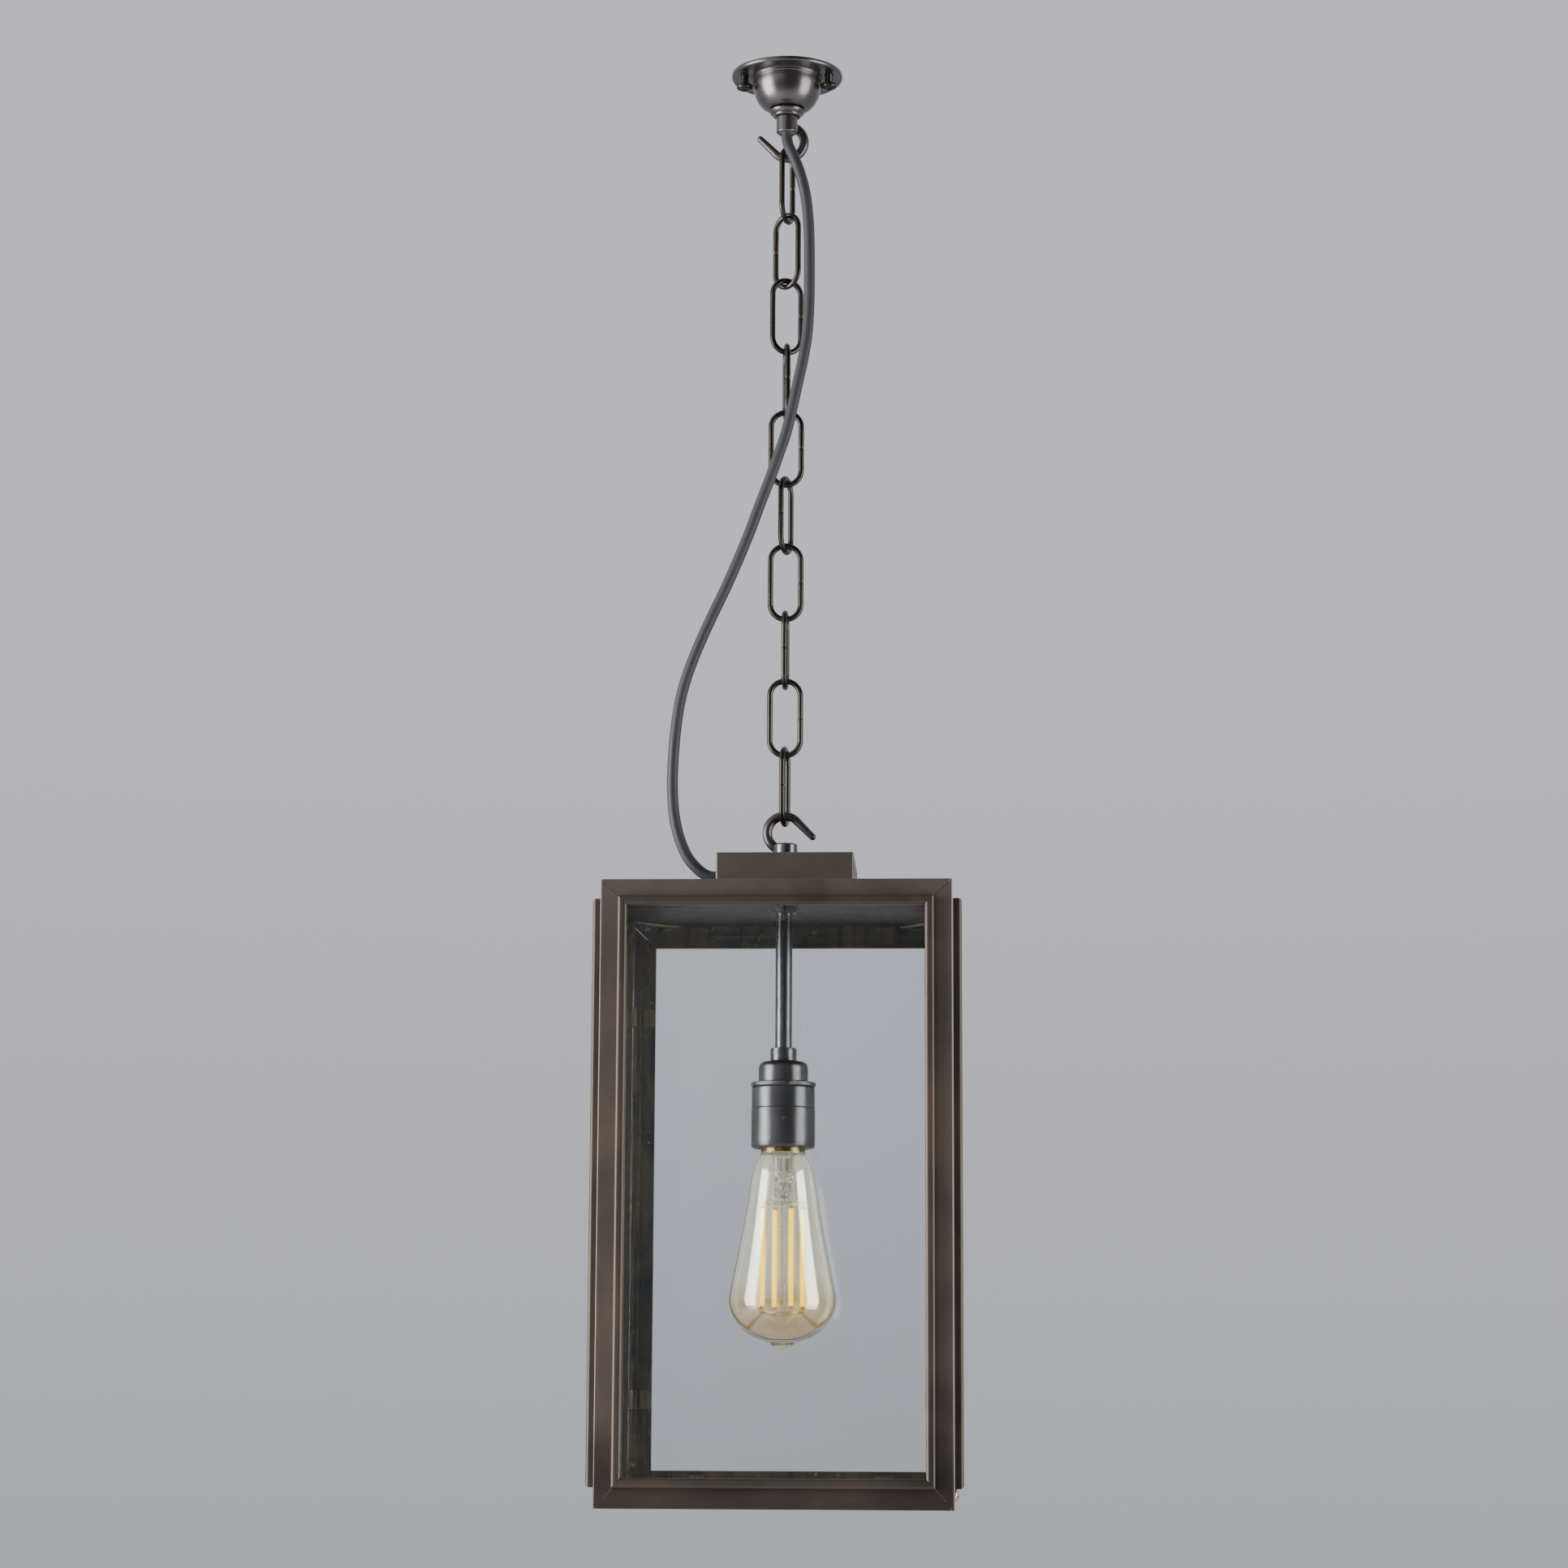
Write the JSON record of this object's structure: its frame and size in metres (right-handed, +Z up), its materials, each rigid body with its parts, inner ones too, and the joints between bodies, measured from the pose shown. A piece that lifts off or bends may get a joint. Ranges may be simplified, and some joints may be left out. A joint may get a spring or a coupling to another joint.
{
  "type": "hanging lantern",
  "caption": "Square glazed lantern in weathered brass, hung by a link chain and two hooks from a round ceiling plate, with a flexible cable and a filament bulb.",
  "frame": {"origin": "centre of the ceiling plate's face against the ceiling", "axes": "+Z up, out of the ceiling plate's face; +X to the right and -Y towards the viewer of the lantern's front"},
  "size_m": [0.2128, 0.2128, 0.874],
  "materials": {
    "dark_bronze": "satin, dark bronze patina with warm worn edges",
    "weathered_brass": "satin, mottled dark brown patina with pale worn edges",
    "gunmetal": "satin, dark bronze plating",
    "bright_brass": "polished, slightly tarnished",
    "clear_glass": "clear, smooth",
    "amber_glass": "clear, lightly amber tinted",
    "filament": "glowing yellow phosphor",
    "grey_flex": "matte dark grey round flex",
    "white_plastic": "matte moulded",
    "ceramic": "glazed ceramic"
  },
  "bodies": {
    "ceiling": {"ceiling_plate": "dark_bronze", "stepped_washer": "dark_bronze", "cable_collar": "dark_bronze", "cord_grip": "white_plastic", "terminal_block": "white_plastic", "fixing_screw_left": "dark_bronze", "fixing_screw_right": "dark_bronze", "cable": "grey_flex"},
    "link_01": {"link_01": "dark_bronze"},
    "link_02": {"link_02": "dark_bronze"},
    "link_03": {"link_03": "dark_bronze"},
    "link_04": {"link_04": "dark_bronze"},
    "link_05": {"link_05": "dark_bronze"},
    "link_06": {"link_06": "dark_bronze"},
    "link_07": {"link_07": "dark_bronze"},
    "link_08": {"link_08": "dark_bronze"},
    "link_09": {"link_09": "dark_bronze"},
    "link_10": {"link_10": "dark_bronze"},
    "lantern": {"bottom_rail_back": "weathered_brass", "bottom_rail_front": "weathered_brass", "bottom_rail_left": "weathered_brass", "bottom_rail_right": "weathered_brass", "cable_grommet": "grey_flex", "cap": "weathered_brass", "corner_post_back_left": "weathered_brass", "corner_post_back_right": "weathered_brass", "corner_post_front_left": "weathered_brass", "corner_post_front_right": "weathered_brass", "glass_pane_back": "clear_glass", "glass_pane_front": "clear_glass", "glass_pane_left": "clear_glass", "glass_pane_right": "clear_glass", "glazing_bead_back": "weathered_brass", "glazing_bead_front": "weathered_brass", "glazing_bead_left": "weathered_brass", "glazing_bead_right": "weathered_brass", "holder_body": "gunmetal", "holder_cap": "gunmetal", "holder_insert": "ceramic", "holder_ring": "gunmetal", "holder_skirt": "gunmetal", "lower_hook": "dark_bronze", "pane_screw": "bright_brass", "rod": "gunmetal", "rod_nut": "gunmetal", "roof_gusset_back_left": "weathered_brass", "roof_gusset_back_right": "weathered_brass", "roof_gusset_front_left": "weathered_brass", "roof_gusset_front_right": "weathered_brass", "roof_plate": "weathered_brass", "top_rail_back": "weathered_brass", "top_rail_front": "weathered_brass", "top_rail_left": "weathered_brass", "top_rail_right": "weathered_brass"},
    "bulb": {"bulb_base": "bright_brass", "bulb_glass": "amber_glass", "bulb_stem": "amber_glass", "filament_cage": "filament"}
  },
  "joints": [
    {"name": "link_01_swing", "type": "hinge", "parent": "ceiling", "child": "link_01", "pos_m": [0, 0.008, -0.05105], "axis": [1, 0, 0], "range_deg": [-15, 15], "deforming": ["cable"]},
    {"name": "link_02_swing", "type": "hinge", "parent": "link_01", "child": "link_02", "pos_m": [0, 0.008, -0.092], "axis": [0.309, 0.9511, 0], "range_deg": [-8, 8]},
    {"name": "link_03_swing", "type": "hinge", "parent": "link_02", "child": "link_03", "pos_m": [0, 0.008, -0.13415], "axis": [0.7771, -0.6293, 0], "range_deg": [-8, 8]},
    {"name": "link_04_swing", "type": "hinge", "parent": "link_03", "child": "link_04", "pos_m": [0, 0.008, -0.1763], "axis": [0.9205, 0.3907, 0], "range_deg": [-8, 8]},
    {"name": "link_05_swing", "type": "hinge", "parent": "link_04", "child": "link_05", "pos_m": [0, 0.008, -0.21845], "axis": [-0.1219, 0.9925, 0], "range_deg": [-8, 8]},
    {"name": "link_06_swing", "type": "hinge", "parent": "link_05", "child": "link_06", "pos_m": [0, 0.008, -0.2606], "axis": [0.9986, 0.0523, 0], "range_deg": [-8, 8]},
    {"name": "link_07_swing", "type": "hinge", "parent": "link_06", "child": "link_07", "pos_m": [0, 0.008, -0.30275], "axis": [0.284, 0.9588, 0], "range_deg": [-8, 8]},
    {"name": "link_08_swing", "type": "hinge", "parent": "link_07", "child": "link_08", "pos_m": [0, 0.008, -0.3449], "axis": [0.9986, 0.0523, 0], "range_deg": [-8, 8]},
    {"name": "link_09_swing", "type": "hinge", "parent": "link_08", "child": "link_09", "pos_m": [0, 0.008, -0.38705], "axis": [0.0349, 0.9994, 0], "range_deg": [-8, 8]},
    {"name": "link_10_swing", "type": "hinge", "parent": "link_09", "child": "link_10", "pos_m": [0, 0.008, -0.4292], "axis": [0.9986, 0.0523, 0], "range_deg": [-8, 8]},
    {"name": "lantern_swing", "type": "hinge", "parent": "link_10", "child": "lantern", "pos_m": [0, 0.008, -0.47135], "axis": [0.1392, 0.9903, 0], "range_deg": [-12, 12]},
    {"name": "bulb_out", "type": "slide", "parent": "lantern", "child": "bulb", "axis": [0, 0, -1], "range_m": [0, 0.24]}
  ]
}
